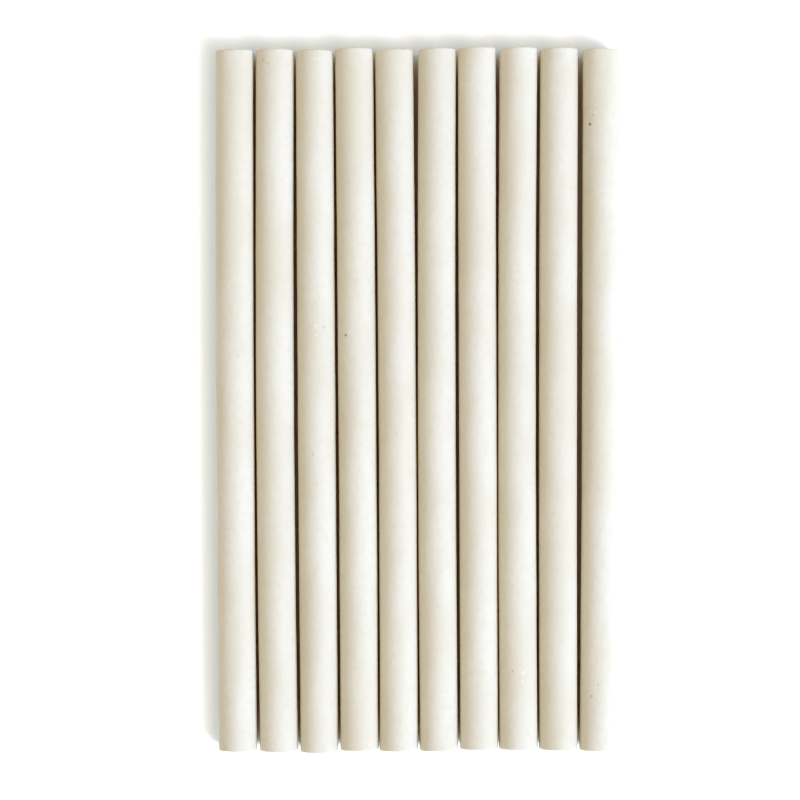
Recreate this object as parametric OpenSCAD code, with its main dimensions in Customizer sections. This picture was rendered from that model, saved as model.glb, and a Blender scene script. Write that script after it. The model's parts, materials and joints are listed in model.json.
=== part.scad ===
// Ten blunt paper blending stumps lying side by side on a flat surface.
// Each stump is one strip of soft paper wound tight round a thin needle, with its tail
// pasted down along one line. The needle is drawn out, so a fine bore stays in the middle.
// The stumps lie along Y, the row runs along X and the surface is at z = 0.

/* [Stump] */
// Length of a stump between its two cut ends
stump_length = 140; // [100:1:200]
// Height of a stump across its outermost turn
stump_diameter = 7.8; // [7.5:0.1:12]

/* [Winding] */
// Thickness of the paper strip
paper_thickness = 0.26; // [0.2:0.01:0.26]
// Clearance between one turn of the strip and the next
turn_gap = 0.04; // [0.02:0.01:0.04]
// Number of full turns in the winding
turn_count = 12; // [6:1:12]
// Part of the last turn that is pasted down, in degrees back from its edge
paste_angle = 40; // [20:5:80]
// Bare paper between the paste and each cut end
paste_margin = 1; // [0.5:0.5:5]

/* [Row] */
// Free space between neighbours in an even row
row_gap = 0.3; // [0.3:0.05:3]

/* [Hidden] */
// How far each stump's middle lies to the side of its place in an even row
side_nudge = [0.1, 0.2, 0.05, -0.1, -0.25, -0.05, -0.2, -0.15, -0.2, -0.05];
// How far each stump is pushed along its own length
end_nudge = [-0.15, -0.15, -0.3, 0.05, -0.2, 0, 0.25, 0.2, 0.15, 0];
// Lean of each stump in the row, in degrees, anticlockwise from above
lean = [0.3, 0.35, 0.4, 0.45, 0.4, 0.15, 0.2, 0, -0.05, -0.25];
// Roll of each stump: where the paper's outer edge lies round the axis, in degrees
edge_roll = [-32, -52, -36, -48, -58, -40, -50, -34, -46, -38];
// Stumps that lie the other way round, end for end
reversed = [true, false, false, true, false, true, true, false, false, false];

stump_count = len(side_nudge);
stump_numbers = [1:stump_count];
pitch = paper_thickness + turn_gap;
row_step = stump_diameter + row_gap;

// The winding is a spiral of half rings. The halves above the x axis are centred on the
// origin, and those below it half a pitch to the side, so that each turn runs into the next.
upper_radius = stump_diameter / 2 - pitch / 4;
lower_radius = upper_radius + pitch / 2;
lower_centre = pitch / 2;
core_radius = upper_radius - paper_thickness - (turn_count - 1) * pitch;
half_plane = stump_diameter;

function two_digits(i) = i < 10 ? str("0", i) : str(i);
function paper_name(i) = str("stump_", two_digits(i), "_paper");
function paste_name(i) = str("stump_", two_digits(i), "_paste");

// Distance from the spiral's origin to its tangent in the direction a
function reach(a) =
    max(upper_radius, (upper_radius + pitch) * cos(a),
        sin(a) < 0 ? lower_radius + lower_centre * cos(a) : 0);

module ring(inner, thickness) {
    difference() {
        circle(r = inner + thickness, $fn = 96);
        circle(r = inner, $fn = 96);
    }
}

// Half rings of all the turns, on one side of the x axis
module half_turns(first_inner, side) {
    intersection() {
        for (turn = [0:turn_count - 1]) ring(first_inner + turn * pitch, paper_thickness);
        translate([-half_plane, side > 0 ? 0 : -half_plane]) square([2 * half_plane, half_plane]);
    }
}

module spiral() {
    half_turns(core_radius, 1);
    translate([lower_centre, 0]) half_turns(core_radius + pitch / 2, -1);
}

// Film of paste in the gap under the last turn, back from the outer edge
module paste_film() {
    translate([lower_centre, 0]) intersection() {
        ring(lower_radius - pitch, turn_gap);
        polygon([
            [0, 0],
            [half_plane, 0],
            half_plane * [1, -tan(paste_angle / 2)],
            half_plane * [cos(paste_angle), -sin(paste_angle)]
        ]);
    }
}

// Lays an outline down as a stump of its own length, at its place in the row
module in_row(i, length) {
    n = i - 1;
    edge = edge_roll[n];
    x = (n - (stump_count - 1) / 2) * row_step + side_nudge[n];
    height = reach(-90 - edge);
    translate([x, end_nudge[n], height])
        rotate([90, 0, lean[n] + (reversed[n] ? 180 : 0)])
            linear_extrude(length, center = true)
                rotate(edge)
                    children();
}

module stump_paper(i) {
    color([0.93, 0.91, 0.84]) in_row(i, stump_length) spiral();
}

module stump_paste(i) {
    color([0.85, 0.78, 0.6]) in_row(i, stump_length - 2 * paste_margin) paste_film();
}

for (i = stump_numbers) {
    stump_paper(i);
    stump_paste(i);
}
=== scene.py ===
import json
import math

import bpy
import numpy as np
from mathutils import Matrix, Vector


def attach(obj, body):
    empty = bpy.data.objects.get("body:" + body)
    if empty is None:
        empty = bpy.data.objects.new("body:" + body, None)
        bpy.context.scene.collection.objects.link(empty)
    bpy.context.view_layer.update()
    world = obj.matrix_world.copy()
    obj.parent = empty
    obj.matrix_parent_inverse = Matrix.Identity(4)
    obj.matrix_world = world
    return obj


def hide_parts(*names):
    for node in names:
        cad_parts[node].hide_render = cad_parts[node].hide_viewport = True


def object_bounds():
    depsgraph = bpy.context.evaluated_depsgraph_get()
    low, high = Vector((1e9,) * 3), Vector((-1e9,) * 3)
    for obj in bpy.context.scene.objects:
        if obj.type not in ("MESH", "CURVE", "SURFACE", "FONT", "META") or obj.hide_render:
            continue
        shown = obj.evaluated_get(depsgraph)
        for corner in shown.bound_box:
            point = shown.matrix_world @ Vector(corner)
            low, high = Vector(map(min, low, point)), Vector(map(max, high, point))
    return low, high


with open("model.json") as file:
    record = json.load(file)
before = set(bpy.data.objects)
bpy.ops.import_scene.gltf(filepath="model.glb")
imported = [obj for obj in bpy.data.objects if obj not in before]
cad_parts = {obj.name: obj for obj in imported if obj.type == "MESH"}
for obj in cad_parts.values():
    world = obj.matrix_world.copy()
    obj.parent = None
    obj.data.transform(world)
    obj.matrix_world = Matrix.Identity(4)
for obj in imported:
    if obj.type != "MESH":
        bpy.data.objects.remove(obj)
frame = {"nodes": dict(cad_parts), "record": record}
cad_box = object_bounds()

MM = 0.001
UP = Vector((0, 0, 1))
scene = bpy.context.scene
row_low, row_high = cad_box
row_middle = (row_low + row_high) / 2

# ------------------------------------------------------------------ camera

CAMERA_HEIGHT = 0.56    # lens above the stumps' axes
VIEW_WIDTH = 0.160      # what the picture takes in at that height
ROW_TO_RIGHT = 0.0036   # how far the row lies to the right of the picture's middle


def make_camera():
    data = bpy.data.cameras.new("camera")
    data.sensor_width = 36
    data.lens = data.sensor_width * CAMERA_HEIGHT / VIEW_WIDTH
    camera = bpy.data.objects.new("camera", data)
    camera.location = row_middle + Vector((-ROW_TO_RIGHT, 0, CAMERA_HEIGHT))
    scene.collection.objects.link(camera)
    scene.camera = camera


make_camera()

# ------------------------------------------------------------------ the winding

PAPER_THICKNESS = 0.26 * MM
TURN_GAP = 0.04 * MM
PITCH = PAPER_THICKNESS + TURN_GAP
TURNS = 12
FULL_TURN = 2 * math.pi
WHOLE_WINDING = FULL_TURN * TURNS    # angle turned from the core to the paper's outer edge
HAIR = 1e-6                          # keeps an angle just inside the turn it belongs to
ROUND_OFF = 1e-9                     # keeps a whole number of turns from being rounded down

# How far the middle of each stump bows sideways from the straight line between its ends
BOWS = [bow * MM for bow in (-0.18, -0.4, -0.05, 0.06, 0.18, -0.28, -0.01, -0.32, -0.17, 0.18)]

# How the outside departs from the CAD's: a change of radius, and ripples with so many lobes round
# the stump and wavelengths in metres along it
SWELL = (-0.044, -0.02)                # mm
LONG_WAVES = {"count": 3, "lobes": (2, 4), "wavelengths": (0.1, 0.4), "size": 0.016 * MM}
SHORT_WAVES = {"count": 8, "lobes": (1, 7), "wavelengths": (0.012, 0.06), "size": 0.007 * MM}
SKIN_WAVES = {"count": 14, "lobes": (-16, 17), "wavelengths": (0.003, 0.009), "size": 0.0022 * MM}

# How a cut end departs from a flat one
CUT_STEPS = [((0.2, 0.5), 0.030 * MM), ((0.9, 1.3), 0.018 * MM), ((2.2, 3.4), 0.010 * MM)]
CUT_SLANT = (0.02, 0.09)               # mm
CUT_DISH = (0.08, 0.2)                 # mm
DISH_SHAPE = 1.6                       # how much of the dish lies close to the middle

SHAPE_SEED = 100
LOOK_SEED = 500


def mount_place(name):
    for mount in frame["record"]["mounts"]:
        if mount["name"] == name:
            return Vector(mount["pos_m"])
    raise KeyError(name)


def wave_set(rng, count, lobes, wavelengths, size):
    """Random ripples round and along a stump: rows of (lobes, waves per metre, phase, size)."""
    rows = []
    for _ in range(count):
        wave = 1 / rng.uniform(*wavelengths)
        rows.append((rng.integers(*lobes), wave, rng.uniform(0, FULL_TURN), size * rng.uniform(0.5, 1)))
    return rows


def ripple(rows, angle, along):
    total = np.zeros(np.broadcast(angle, along).shape)
    for lobes, wave, phase, size in rows:
        total += size * np.sin(lobes * angle + FULL_TURN * wave * along + phase)
    return total


class Stump:
    """One stump: its place, taken from the frame, and the small ways in which it isn't perfect."""

    def __init__(self, number, bow):
        self.number = number
        self.name = f"stump_{number:02d}"
        near = mount_place(self.name + "_near_end")
        far = mount_place(self.name + "_far_end")
        self.middle = (near + far) / 2
        self.length = (far - near).length
        self.along = (far - near).normalized()
        self.across = self.along.cross(UP)
        self.bow = bow
        self.lift = 0.0

        # The paper's outer edge is the CAD winding's furthest point from the axis, and the
        # paste lies behind it, which shows which way round the paper was wound.
        angles, radii = self.round_axis(self.name + "_paper")
        paste_angles, _ = self.round_axis(self.name + "_paste")
        self.edge_angle = angles[radii.argmax()]
        behind = math.remainder(float(np.median(paste_angles)) - self.edge_angle, FULL_TURN)
        self.winding = 1 if behind < 0 else -1
        self.outer_radius = float(radii.max()) - PITCH
        self.core_radius = self.outer_radius - PAPER_THICKNESS - (TURNS - 1) * PITCH

        self.rng = np.random.default_rng(SHAPE_SEED + number)
        self.swell = self.rng.uniform(*SWELL) * MM
        self.shape_waves = wave_set(self.rng, **LONG_WAVES) + wave_set(self.rng, **SHORT_WAVES)
        self.skin_waves = wave_set(self.rng, **SKIN_WAVES)
        self.end_shapes = {end: self.end_shape() for end in (-1, 1)}

    def round_axis(self, node):
        """Angles and distances round the stump's axis of a CAD node's points."""
        points = np.array([v.co for v in frame["nodes"][node].data.vertices], float)
        points -= np.array(self.middle)
        side = points @ np.array(self.across)
        height = points @ np.array(UP)
        return np.arctan2(height, side), np.hypot(side, height)

    def end_shape(self):
        """How one cut end departs from a flat one: its slant, its dish and its paper's own steps."""
        steps = []
        for rates, size in CUT_STEPS:
            steps.append((self.rng.uniform(*rates), self.rng.uniform(0, FULL_TURN), size))
        slant = (self.rng.uniform(*CUT_SLANT) * MM, self.rng.uniform(0, FULL_TURN))
        return {"steps": steps, "slant": slant, "dish": self.rng.uniform(*CUT_DISH) * MM}

    def inner_radius(self, turned):
        """Radius of the paper's inner face after an angle turned from the core, as in the CAD winding."""
        turned = min(turned, WHOLE_WINDING - HAIR)
        turn = math.floor(turned / FULL_TURN + ROUND_OFF)
        angle = turned - turn * FULL_TURN
        upper = self.core_radius + turn * PITCH
        if angle < math.pi:
            return upper
        centre = PITCH / 2
        return centre * math.cos(angle) + math.sqrt((upper + centre) ** 2 - (centre * math.sin(angle)) ** 2)

    def end_depth(self, end, turned, radius):
        """How far behind the stump's nominal end the paper's cut edge lies."""
        shape = self.end_shapes[end]
        share = radius / self.outer_radius
        size, direction = shape["slant"]
        depth = size * (1 + share * math.cos(turned - direction))
        depth += shape["dish"] * max(0.0, 1 - share) ** DISH_SHAPE
        for rate, phase, step in shape["steps"]:
            depth += step * (1 + math.sin(rate * turned + phase))
        return depth

    def place(self, turned, radius, along):
        """World points for an angle turned from the core, a radius and a distance from the middle."""
        angle = self.edge_angle + self.winding * turned
        uneven = self.swell + ripple(self.shape_waves, angle, along)
        radius = radius * (1 + uneven / self.outer_radius)
        side = radius * np.cos(angle) + self.bow * (1 - (2 * along / self.length) ** 2)
        height = radius * np.sin(angle) + self.lift
        parts = ((along, self.along), (side, self.across), (height, UP))
        return np.array(self.middle) + sum(np.multiply.outer(d, np.array(way)) for d, way in parts)


stumps = [Stump(number, bow) for number, bow in enumerate(BOWS, 1)]

# ------------------------------------------------------------------ mesh helpers

SHARP_ANGLE = 48       # degrees between faces from which an edge is drawn sharp


def mesh_object(name, points, faces, flip):
    if flip:
        faces = turned_over(faces)
    mesh = bpy.data.meshes.new(name)
    mesh.from_pydata([tuple(p) for p in points], [], faces)
    mesh.validate()
    mesh.shade_smooth()
    mesh.set_sharp_from_angle(angle=math.radians(SHARP_ANGLE))
    piece = bpy.data.objects.new(name, mesh)
    scene.collection.objects.link(piece)
    return piece


def add_sheet_coordinates(piece, values):
    """Where each point lies on the flat strip of paper, in millimetres: along it, across it, into it."""
    attribute = piece.data.attributes.new("sheet", "FLOAT_VECTOR", "POINT")
    attribute.data.foreach_set("vector", np.asarray(values, np.float32).ravel())


def turned_over(faces):
    return [face[::-1] for face in faces]


def quads(first, second):
    """Faces between two rows of points with the same number of points."""
    return [(first[i], first[i + 1], second[i + 1], second[i]) for i in range(len(first) - 1)]


def stitch(first, first_steps, second, second_steps):
    """Faces between two rows whose points stand at the given steps, every step of the sparser row being
    a step of the other."""
    if len(first) == len(second):
        return quads(first, second)
    sparse_first = len(first) < len(second)
    sparse, sparse_steps = (first, first_steps) if sparse_first else (second, second_steps)
    dense, dense_steps = (second, second_steps) if sparse_first else (first, first_steps)
    position = {step: i for i, step in enumerate(dense_steps)}
    faces = []
    for i in range(len(sparse) - 1):
        begin, end = position[sparse_steps[i]], position[sparse_steps[i + 1]]
        half = (begin + end) // 2
        fan = [(sparse[i], dense[j + 1], dense[j]) for j in range(begin, half)]
        fan.append((sparse[i], sparse[i + 1], dense[half]))
        fan += [(sparse[i + 1], dense[j + 1], dense[j]) for j in range(half, end)]
        faces += fan if sparse_first else turned_over(fan)
    return faces


# ------------------------------------------------------------------ paper

END_STEPS = [0, 0.12, 0.3, 0.6, 1.1, 1.9]      # mm from a cut end
COARSE_END_STEPS = [0, 0.3, 1.9]
SKIN_STEP = 1.1                # mm between points along the outer skin
COARSE_EVERY = 12              # inner layers keep one in so many of those
SKIN_COLUMNS = 100             # points round the outer skin
INNER_STEP = 0.5 * MM          # distance between points round an inner turn
INNER_COLUMNS = (16, 48)       # fewest and most points round an inner turn
LAP_ANGLES = [9, 7, 5, 3.5, 2.2, 1.1, 0.4, 0]  # degrees before the paper's outer edge
LAP_THIN = 0.5                 # share of the thickness that is left at that edge
LAP_TAPER = 1.5                # how late the thinning sets in
EDGE_WAVES = {"count": 4, "lobes": (0, 1), "wavelengths": (0.01, 0.05), "size": 0.05 * MM}
EDGE_WANDER_ANGLE = 20         # degrees over which that edge's waves fade away
CUT_ROUNDING = 0.05 * MM       # how far the corners of an inner layer's cut edge stand back
SKIN_ROUNDING = 0.17 * MM      # the same at the outer skin, which handling has softened
CUT_PROFILE = [0.8, 0.4, -0.4, -0.8]           # places across a cut edge, from the outer face to the inner


def steps_along(length):
    """Places along a stump from its near end, in mm, and which of them the inner layers keep."""
    length = length / MM
    count = round((length - 2 * END_STEPS[-1]) / SKIN_STEP)
    middle = list(np.linspace(END_STEPS[-1], length - END_STEPS[-1], count + 1))[1:-1]
    fine = END_STEPS + middle + [length - s for s in reversed(END_STEPS)]
    ends = COARSE_END_STEPS + [length - s for s in COARSE_END_STEPS]
    kept = [i for i, s in enumerate(fine) if s in ends or (s in middle and i % COARSE_EVERY == 0)]
    return np.array(fine) * MM, kept


def column_angles(stump):
    """Angles turned from the core at which the winding has a column of points, and whether it's skin."""
    angles = []
    for turn in range(TURNS - 1):
        radius = stump.core_radius + (turn + 0.5) * PITCH
        count = int(np.clip(FULL_TURN * radius / INNER_STEP, *INNER_COLUMNS))
        angles += [(FULL_TURN * (turn + i / count), False) for i in range(count)]
    lap = math.radians(LAP_ANGLES[0])
    skin = np.linspace(WHOLE_WINDING - FULL_TURN, WHOLE_WINDING - lap, SKIN_COLUMNS)
    angles += [(angle, True) for angle in skin[:-1]]
    angles += [(WHOLE_WINDING - math.radians(before), True) for before in LAP_ANGLES]
    return angles


class PointRows:
    """Points gathered a row at a time, each with its place in the winding and on the flat strip."""

    def __init__(self):
        self.blocks = []
        self.count = 0

    def add(self, turned, radius, along, arc=0.0, depth=0.0):
        """Adds a row of points and returns their numbers."""
        block = np.array(np.broadcast_arrays(turned, radius, along, arc, depth)).reshape(5, -1)
        self.blocks.append(block)
        self.count += block.shape[1]
        return list(range(self.count - block.shape[1], self.count))

    def placed(self, stump):
        """World points, and their places on the flat strip in millimetres."""
        turned, radius, along, arc, depth = np.concatenate(self.blocks, 1)
        return stump.place(turned, radius, along), np.stack([arc, along, depth], 1) / MM


class Column:
    """A cut through the paper from end to end, at one angle of the winding."""

    def __init__(self, stump, rows, angle, skin, arc):
        before_edge = math.degrees(WHOLE_WINDING - angle)
        lap_share = max(0.0, 1 - before_edge / LAP_ANGLES[0])
        self.stump = stump
        self.rows = rows
        self.angle = angle
        self.skin = skin
        self.arc = arc
        self.inner = stump.inner_radius(angle)
        self.thickness = PAPER_THICKNESS * (1 - (1 - LAP_THIN) * lap_share ** LAP_TAPER)
        self.wander_share = max(0.0, 1 - before_edge / EDGE_WANDER_ANGLE)
        self.corner = SKIN_ROUNDING if skin else CUT_ROUNDING
        half = stump.length / 2
        self.ends = {end: half - stump.end_depth(end, angle, self.inner) for end in (-1, 1)}

    def add_points(self, steps, kept, edge_waves):
        """Adds this column's points, and keeps their numbers."""
        self.which = list(range(len(steps))) if self.skin else kept
        outer = self.inner + self.thickness
        self.outer_row = self.lengthwise(steps[self.which], self.corner, outer, 0, edge_waves)
        self.inner_row = self.lengthwise(steps[kept], CUT_ROUNDING, self.inner, PAPER_THICKNESS, edge_waves)
        self.far = self.cut_edge(1)
        self.near = self.cut_edge(-1)

    def lengthwise(self, steps, rounding, radius, depth, edge_waves):
        """One row from end to end, fitted between this column's own two cut edges."""
        low = -self.ends[-1] + rounding
        high = self.ends[1] - rounding
        along = low + (high - low) * steps / self.stump.length
        wander = self.wander_share * ripple(edge_waves, 0, along) / self.inner
        if self.skin and depth == 0:
            radius = radius + ripple(self.stump.skin_waves, self.angle, along)
        return self.rows.add(self.angle + wander, radius, along, self.arc, depth)

    def cut_edge(self, end):
        """Points across the paper's cut edge, from its outer face to its inner one."""
        row = []
        for across in CUT_PROFILE:
            rounding = self.corner if across > 0 else CUT_ROUNDING
            along = end * (self.ends[end] - rounding * abs(across) ** 3)
            radius = self.inner + self.thickness * (1 + across) / 2
            row += self.rows.add(self.angle, radius, along, self.arc, PAPER_THICKNESS * (1 - across) / 2)
        return row


def wind_columns(stump, rows, steps, kept):
    """The winding's columns from the core outwards, with their points added to the rows."""
    edge_waves = wave_set(stump.rng, **EDGE_WAVES)
    columns = []
    arc, last_angle = 0.0, 0.0
    for angle, skin in column_angles(stump):
        arc += stump.inner_radius(angle) * (angle - last_angle)
        last_angle = angle
        column = Column(stump, rows, angle, skin, arc)
        column.add_points(steps, kept, edge_waves)
        columns.append(column)
    return columns


def winding_faces(columns, kept):
    """The paper's two faces, its two cut edges and its first and last edge."""
    faces = []
    for a, b in zip(columns, columns[1:]):
        faces += stitch(a.outer_row, a.which, b.outer_row, b.which)
        faces += turned_over(quads(a.inner_row, b.inner_row))
        faces += quads(*([c.outer_row[-1], *c.far, c.inner_row[-1]] for c in (a, b)))
        faces += turned_over(quads(*([c.outer_row[0], *c.near, c.inner_row[0]] for c in (a, b))))
    for column, first in ((columns[0], True), (columns[-1], False)):
        edge = stitch(column.inner_row, kept, column.outer_row, column.which)
        edge.append((column.inner_row[0], column.outer_row[0], *column.near))
        edge.append((column.outer_row[-1], column.inner_row[-1], *reversed(column.far)))
        faces += edge if first else turned_over(edge)
    return faces


def make_paper(stump):
    """The wound strip, set down on the floor. The paste that is made after it takes the same lift."""
    steps, kept = steps_along(stump.length)
    rows = PointRows()
    faces = winding_faces(wind_columns(stump, rows, steps, kept), kept)
    points, sheet = rows.placed(stump)
    stump.lift = row_low.z - float(points[:, 2].min())
    points[:, 2] += stump.lift
    piece = mesh_object(stump.name + "_roll", points, faces, stump.winding < 0)
    add_sheet_coordinates(piece, sheet)
    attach(piece, stump.name)
    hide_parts(stump.name + "_paper")
    return piece


# ------------------------------------------------------------------ paste

PASTE_ANGLE = 40               # degrees under the lap
PASTE_MARGIN = 1.0 * MM
PASTE_COLUMNS = 8
PASTE_STEPS = 90
BEAD_COLUMNS = 4
BEAD_SIZE = 0.075 * MM         # what was squeezed out along the edge, at its fullest
BEAD_USUAL = 0.45              # share of that along most of the edge
BEAD_SHARES = (0.12, 1)        # the least share and the most
BEAD_WAVES = {"count": 6, "lobes": (0, 1), "wavelengths": (0.004, 0.03), "size": 0.35}
BEAD_FULLNESS = 0.8            # height of the bead beside its width


def make_paste(stump):
    """The dried film under the lap, with the thin uneven line that was squeezed out along its edge."""
    along = np.linspace(-1, 1, PASTE_STEPS) * (stump.length / 2 - PASTE_MARGIN)
    bead_waves = wave_set(stump.rng, **BEAD_WAVES)
    bead = BEAD_SIZE * np.clip(BEAD_USUAL + ripple(bead_waves, 0, along), *BEAD_SHARES)
    rows = PointRows()
    lower, upper = [], []
    for i in range(PASTE_COLUMNS + 1):
        angle = WHOLE_WINDING - math.radians(PASTE_ANGLE) * (1 - i / PASTE_COLUMNS)
        under = stump.inner_radius(angle - FULL_TURN - HAIR) + PAPER_THICKNESS
        lower.append((angle, under))
        upper.append((angle, under + TURN_GAP))
    foot = under
    for i in range(1, BEAD_COLUMNS + 1):
        out = i / BEAD_COLUMNS
        angle = WHOLE_WINDING + bead * out / foot
        lower.append((angle, foot))
        rise = (bead - TURN_GAP * out) * (1 - out ** 2) * BEAD_FULLNESS
        upper.append((angle, foot + TURN_GAP + rise))
    outline = [rows.add(angle, radius, along) for angle, radius in lower + upper[-2::-1]]
    faces = []
    for a, b in zip(outline, outline[1:] + outline[:1]):
        faces += quads(a, b)
    faces.append(tuple(row[0] for row in outline))
    faces.append(tuple(row[-1] for row in reversed(outline)))
    points, _ = rows.placed(stump)
    piece = mesh_object(stump.name + "_paste_line", points, faces, stump.winding > 0)
    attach(piece, stump.name)
    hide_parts(stump.name + "_paste")
    return piece


# ------------------------------------------------------------------ materials


class Nodes:
    """Short names for building a node material."""

    def __init__(self, name):
        self.material = bpy.data.materials.new(name)
        self.material.use_nodes = True
        self.tree = self.material.node_tree
        self.shader = self.tree.nodes["Principled BSDF"]

    def link(self, value, socket):
        if isinstance(value, bpy.types.NodeSocket):
            self.tree.links.new(value, socket)
        else:
            socket.default_value = value

    def new(self, kind, **settings):
        node = self.tree.nodes.new(kind)
        for key, value in settings.items():
            setattr(node, key, value)
        return node

    def math(self, operation, a, b=0.0):
        node = self.new("ShaderNodeMath", operation=operation)
        self.link(a, node.inputs[0])
        self.link(b, node.inputs[1])
        return node.outputs[0]

    def sheet(self, stretch, shift, turn=0.0):
        """Places on the flat strip, in mm, scaled by stretch."""
        place = self.new("ShaderNodeAttribute", attribute_name="sheet")
        mapping = self.new("ShaderNodeMapping")
        self.link(place.outputs["Vector"], mapping.inputs["Vector"])
        mapping.inputs["Location"].default_value = shift
        mapping.inputs["Rotation"].default_value = (0, 0, turn)
        mapping.inputs["Scale"].default_value = stretch
        return mapping.outputs[0]

    def noise(self, place, detail, rough=0.5, distortion=0.0):
        node = self.new("ShaderNodeTexNoise")
        self.link(place, node.inputs["Vector"])
        node.inputs["Scale"].default_value = 1.0
        node.inputs["Detail"].default_value = detail
        node.inputs["Roughness"].default_value = rough
        node.inputs["Distortion"].default_value = distortion
        return node.outputs["Fac"]

    def threads(self, stretch, shift, turn):
        """One along thin wandering lines, like single fibres lying on the sheet."""
        wander = self.noise(self.sheet(stretch, shift, turn), 1, 0.4, 0.8)
        return self.band(self.math("ABSOLUTE", self.math("SUBTRACT", wander, 0.5)), 0.004, 0.02, 1, 0)

    def band(self, value, low, high, to_low=0.0, to_high=1.0):
        """Value from low to high carried to the range from to_low to to_high, and held at its ends."""
        node = self.new("ShaderNodeMapRange", interpolation_type="SMOOTHSTEP")
        for i, number in enumerate((value, low, high, to_low, to_high)):
            self.link(number, node.inputs[i])
        return node.outputs[0]

    def mix(self, share, a, b):
        node = self.new("ShaderNodeMix", data_type="RGBA")
        self.link(share, node.inputs["Factor"])
        self.link(a, node.inputs["A"])
        self.link(b, node.inputs["B"])
        return node.outputs["Result"]

    def finish(self, colour, rough, height, bump_strength, bump_distance):
        """Ends the material with its colour, its roughness and its relief."""
        self.link(colour, self.shader.inputs["Base Color"])
        self.link(rough, self.shader.inputs["Roughness"])
        bump = self.new("ShaderNodeBump")
        self.link(bump_strength, bump.inputs["Strength"])
        self.link(bump_distance, bump.inputs["Distance"])
        self.link(height, bump.inputs["Height"])
        self.link(bump.outputs[0], self.shader.inputs["Normal"])
        return self.material


# The paper's patterns: how many of their cells fit in a millimetre along the flat strip, across it
# and into it, and for those that cross each other, by how many radians they are turned
CLOUDS = (0.12, 0.05, 0.3)
FELT = (0.9, 0.7, 1)
FIBRES = [((7, 0.9, 2), 0.5), ((6, 1.1, 2), -0.7)]
THREADS = [((2.1, 0.9, 1), 0.9), ((1.8, 1.0, 1), -0.6)]
GRAIN = (11, 8, 6)
SPECKS = (3.1, 2.4, 3)
RELIEF = {"felt": 0.6, "fibres": 0.5, "threads": 0.35, "grain": 0.45}    # each pattern's part in it
PAPER_BUMP = (0.45, 0.045 * MM)        # strength and height
PASTE_BUMP = (0.3, 0.02 * MM)
PASTE_CLOUDS = (900, 500, 900)         # cells in a metre

PAPER_TONE = (0.78, 0.715, 0.565, 1)
PAPER_PALE = (0.81, 0.755, 0.62, 1)
PAPER_WARM = (0.75, 0.67, 0.51, 1)
PASTE_TONE = (0.62, 0.53, 0.36, 1)
PASTE_PALE = (0.74, 0.66, 0.5, 1)
FLECK_TONE = (0.26, 0.18, 0.10, 1)
MARK_TONE = (0.20, 0.15, 0.09, 1)
# pale tone of crumbs, also used as a painted highlight on the raised ridges across stump 3
CRUMB_AND_PAINTED_HIGHLIGHT_TONE = (0.93, 0.9, 0.82, 1)

# Small marks on the skin: stump, mm along it from its middle, mm across it from its crest,
# mm wide, mm long, how strongly it is tinted and how deep it is pressed in. Pale marks stand
# proud, so their depth is below nothing. Most pale marks are crumbs, but the two wide lines across
# stump 3 near its far end are raised ridges whose pale tint is a painted highlight.
MARKS = [
    (1, 8.8, 0.6, 0.7, 1.1, 0.10, 0.3),
    (2, 67.8, -2.4, 0.9, 0.8, 0.16, 0.3),
    (2, 67.0, -1.3, 0.8, 0.9, 0.13, 0.3),
    (3, 15.0, -0.1, 0.7, 0.7, 0.45, -0.5),
    (3, 13.1, -0.1, 0.6, 0.6, 0.45, -0.5),
    (3, 14.8, 1.6, 0.8, 0.8, 0.14, 0.5),
    (3, -10.6, -0.8, 0.5, 1.1, 0.2, 0.5),
    # raised ridges whose pale tint is a painted highlight, not a colour of the paper
    (3, 68.0, 0.4, 2.4, 0.5, 0.22, -0.3),
    (3, 66.7, 0.5, 2.0, 0.5, 0.2, -0.3),
    (4, 43.1, -1.2, 0.7, 0.6, 0.16, 0.4),
    (4, 12.8, -2.1, 0.7, 0.65, 0.75, 1.0),
    (4, 13.4, -1.3, 0.5, 0.7, 0.5, -0.4),
    (8, -54.1, -1.4, 0.6, 0.9, 0.2, 0.6),
    (8, -54.4, 0.8, 0.9, 1.1, 0.35, -0.5),
    (8, -56.2, 0.7, 0.8, 0.8, 0.3, -0.4),
    (8, -55.4, 0.0, 0.6, 0.6, 0.1, 0.4),
    (10, 54.8, -2.5, 0.75, 0.75, 0.9, 1.0),
    (10, 57.2, -1.5, 0.8, 0.8, 0.5, -0.5),
    (10, 57.4, -2.4, 0.7, 0.7, 0.45, -0.4),
    (10, 55.6, -0.6, 0.7, 0.8, 0.4, -0.4),
    (10, 56.6, -1.9, 0.8, 0.6, 0.16, 0.4),
    (10, -58.9, -1.7, 0.7, 0.6, 0.4, 0.7),
    (10, -56.6, -0.5, 0.6, 0.6, 0.2, 0.4),
]
MARK_RIM = (0.8, 1.6)   # shares of a mark's half width between which it fades away


def mark_mask(n, stump, along, across, width, length):
    """One inside a small mark, fading raggedly to nothing round it."""
    up = math.sqrt(stump.outer_radius ** 2 - (across * MM) ** 2)
    centre = stump.middle + stump.along * along * MM + stump.across * across * MM + UP * up
    mapping = n.new("ShaderNodeMapping", vector_type="TEXTURE")
    n.link(n.new("ShaderNodeTexCoord").outputs["Object"], mapping.inputs["Vector"])
    mapping.inputs["Location"].default_value = centre
    mapping.inputs["Scale"].default_value = (width * MM / 2, length * MM / 2, width * MM / 2)
    size = n.new("ShaderNodeVectorMath", operation="LENGTH")
    n.link(mapping.outputs[0], size.inputs[0])
    ragged = n.math("ADD", size.outputs["Value"], n.noise(mapping.outputs[0], 2))
    inner, outer = MARK_RIM
    return n.band(ragged, inner, outer, 1, 0)


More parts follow.
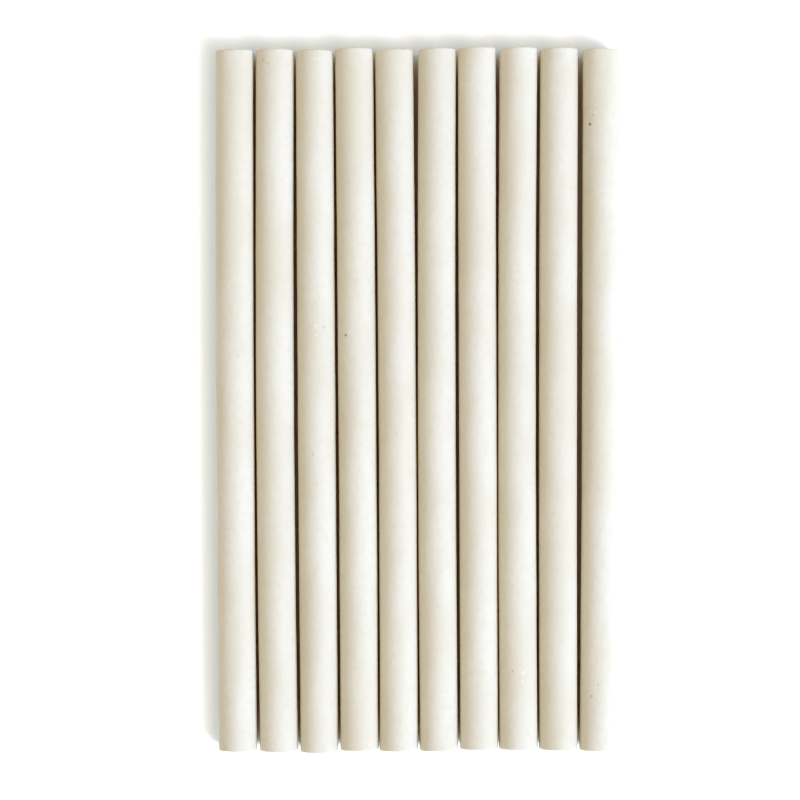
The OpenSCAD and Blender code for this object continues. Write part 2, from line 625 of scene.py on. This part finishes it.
def paper_patterns(n, shift):
    """The paper's patterns by name, each from 0 to 1."""
    felt = n.noise(n.sheet(FELT, shift), 4, 0.6)
    fibres = [n.noise(n.sheet(stretch, shift, turn), 3, 0.55, 0.6) for stretch, turn in FIBRES]
    threads = [n.threads(stretch, shift, turn) for stretch, turn in THREADS]
    return {
        "clouds": n.noise(n.sheet(CLOUDS, shift), 3),
        "felt": felt,
        "fibres": n.math("MAXIMUM", *fibres),
        "threads": n.math("MULTIPLY", n.math("MAXIMUM", *threads), n.band(felt, 0.42, 0.6)),
        "grain": n.noise(n.sheet(GRAIN, shift), 2, 0.6),
        "specks": n.noise(n.sheet(SPECKS, shift), 1),
    }


def paper_colour(n, patterns):
    """Cream with paler and warmer clouds, pale fibres and rare dark flecks."""
    colour = n.mix(n.band(patterns["clouds"], 0.35, 0.65), PAPER_TONE, PAPER_PALE)
    colour = n.mix(n.band(patterns["felt"], 0.45, 0.75, 0, 0.4), colour, PAPER_WARM)
    colour = n.mix(n.band(patterns["fibres"], 0.55, 0.75, 0, 0.35), colour, PAPER_PALE)
    colour = n.mix(n.math("MULTIPLY", patterns["threads"], 0.3), colour, PAPER_PALE)
    colour = n.mix(n.band(patterns["grain"], 0.35, 0.2, 0, 0.35), colour, PAPER_WARM)
    return n.mix(n.band(patterns["specks"], 0.80, 0.84, 0, 0.7), colour, FLECK_TONE)


def paper_relief(n, patterns):
    """The height of the paper's surface: its patterns, each with its own part in it."""
    parts = [n.math("MULTIPLY", patterns[name], part) for name, part in RELIEF.items()]
    height = parts[0]
    for part in parts[1:]:
        height = n.math("ADD", height, part)
    return height


def add_marks(n, stump, colour, height):
    """The paper's colour and relief with the small marks of one stump."""
    for marked, along, across, width, length, tone, depth in MARKS:
        if marked == stump.number:
            mask = mark_mask(n, stump, along, across, width, length)
            # dark marks are tinted dents; pale marks are crumbs, except on stump 3's ridges, where the pale
            # tint is a painted highlight
            colour = n.mix(n.math("MULTIPLY", mask, tone), colour, MARK_TONE if depth > 0 else CRUMB_AND_PAINTED_HIGHLIGHT_TONE)
            height = n.math("SUBTRACT", height, n.math("MULTIPLY", mask, depth))
    return colour, height


def paper_material(stump):
    n = Nodes(stump.name + "_paper_look")
    rng = np.random.default_rng(LOOK_SEED + stump.number)
    patterns = paper_patterns(n, tuple(rng.uniform(-500, 500, 3)))
    colour, height = add_marks(n, stump, paper_colour(n, patterns), paper_relief(n, patterns))
    n.shader.inputs["Specular IOR Level"].default_value = 0.25
    n.shader.inputs["Sheen Weight"].default_value = 0.08
    n.shader.inputs["Sheen Roughness"].default_value = 0.6
    return n.finish(colour, n.band(patterns["felt"], 0.3, 0.7, 0.86, 0.97), height, *PAPER_BUMP)


def paste_material():
    n = Nodes("dried_paste_look")
    mapping = n.new("ShaderNodeMapping")
    n.link(n.new("ShaderNodeTexCoord").outputs["Object"], mapping.inputs["Vector"])
    mapping.inputs["Scale"].default_value = PASTE_CLOUDS
    cloud = n.noise(mapping.outputs[0], 3)
    colour = n.mix(n.band(cloud, 0.35, 0.65), PASTE_TONE, PASTE_PALE)
    return n.finish(colour, n.band(cloud, 0.3, 0.7, 0.35, 0.6), cloud, *PASTE_BUMP)


paste_look = paste_material()
for stump in stumps:
    roll = make_paper(stump)
    roll.data.materials.append(paper_material(stump))
    line = make_paste(stump)
    line.data.materials.append(paste_look)

# ------------------------------------------------------------------ studio

FLOOR_SIZE = 6.0
FLOOR_TONE = (0.93, 0.93, 0.92, 1)
SKY_STRENGTH = 0.74
SKY_TONE = (1.02, 0.97, 0.885, 1)
KEY_WATTS = 43.3
KEY_TONE = (0.79, 1.02, 1.56)
KEY_SIZE = 1.25
KEY_DISTANCE = 2.5
KEY_SLANT = (0.95, -0.7, 1.0)   # direction from the row to the light
FILL_SIZE = 0.8
FILL_DISTANCE = 1.2
FLOOR_FILLS = {   # lights for the floor alone: direction from the row, watts, tone
    "floor_fill": ((0.55, -0.4, 1.0), 6.9, (1.0, 0.80, 0.62)),
    "shadow_fill": ((-0.6, 0.4, 1.0), 2.6, (0.55, 0.97, 1.33)),
}
CONTRAST = 1.34
SHADOW_GRADE = {    # dark tones turned warm: brightness before and after
    "green": [(0.04, 0.028), (0.14, 0.108)],
    "blue": [(0.04, 0.018), (0.13, 0.08)],
}
GRADE_END = 0.32    # brightness above which the grade leaves colours alone


def make_floor():
    mesh = bpy.data.meshes.new("floor")
    half = FLOOR_SIZE / 2
    corners = [(-half, -half, 0), (half, -half, 0), (half, half, 0), (-half, half, 0)]
    mesh.from_pydata([(x, y, z + row_low.z) for x, y, z in corners], [], [(0, 1, 2, 3)])
    floor = bpy.data.objects.new("floor", mesh)
    scene.collection.objects.link(floor)
    n = Nodes("floor_look")
    n.shader.inputs["Base Color"].default_value = FLOOR_TONE
    n.shader.inputs["Roughness"].default_value = 0.9
    mesh.materials.append(n.material)
    return floor


def make_light(name, slant, distance, size, watts, tone):
    data = bpy.data.lights.new(name, "AREA")
    data.shape = "DISK"
    data.size = size
    data.energy = watts
    data.color = tone
    light = bpy.data.objects.new(name, data)
    direction = Vector(slant).normalized()
    light.location = row_middle + direction * distance
    light.rotation_euler = direction.to_track_quat("Z", "Y").to_euler()
    light.visible_camera = False
    scene.collection.objects.link(light)
    return light


def make_sky():
    world = bpy.data.worlds.new("sky")
    world.use_nodes = True
    sky = world.node_tree.nodes["Background"]
    sky.inputs["Color"].default_value = SKY_TONE
    sky.inputs["Strength"].default_value = SKY_STRENGTH
    scene.world = world


def light_only(light, receiver):
    """Lets a light fall on one object, without what that object would throw back on the others."""
    light.data.cycles.max_bounces = 0
    receivers = bpy.data.collections.new(light.name + "_receivers")
    receivers.objects.link(receiver)
    light.light_linking.receiver_collection = receivers


def grade_picture():
    """The contrast of a printed catalogue picture, with warm shadows."""
    view = scene.view_settings
    view.view_transform = "Standard"
    view.gamma = 1 / CONTRAST
    view.use_curve_mapping = True
    channels = dict(zip(("red", "green", "blue"), view.curve_mapping.curves))
    for channel, points in SHADOW_GRADE.items():
        for place in (*points, (GRADE_END, GRADE_END), (0.5, 0.5)):
            channels[channel].points.new(*place)
    view.curve_mapping.update()


floor = make_floor()
make_light("key", KEY_SLANT, KEY_DISTANCE, KEY_SIZE, KEY_WATTS, KEY_TONE)
for fill_name, (slant, watts, tone) in FLOOR_FILLS.items():
    light_only(make_light(fill_name, slant, FILL_DISTANCE, FILL_SIZE, watts, tone), floor)
make_sky()
grade_picture()
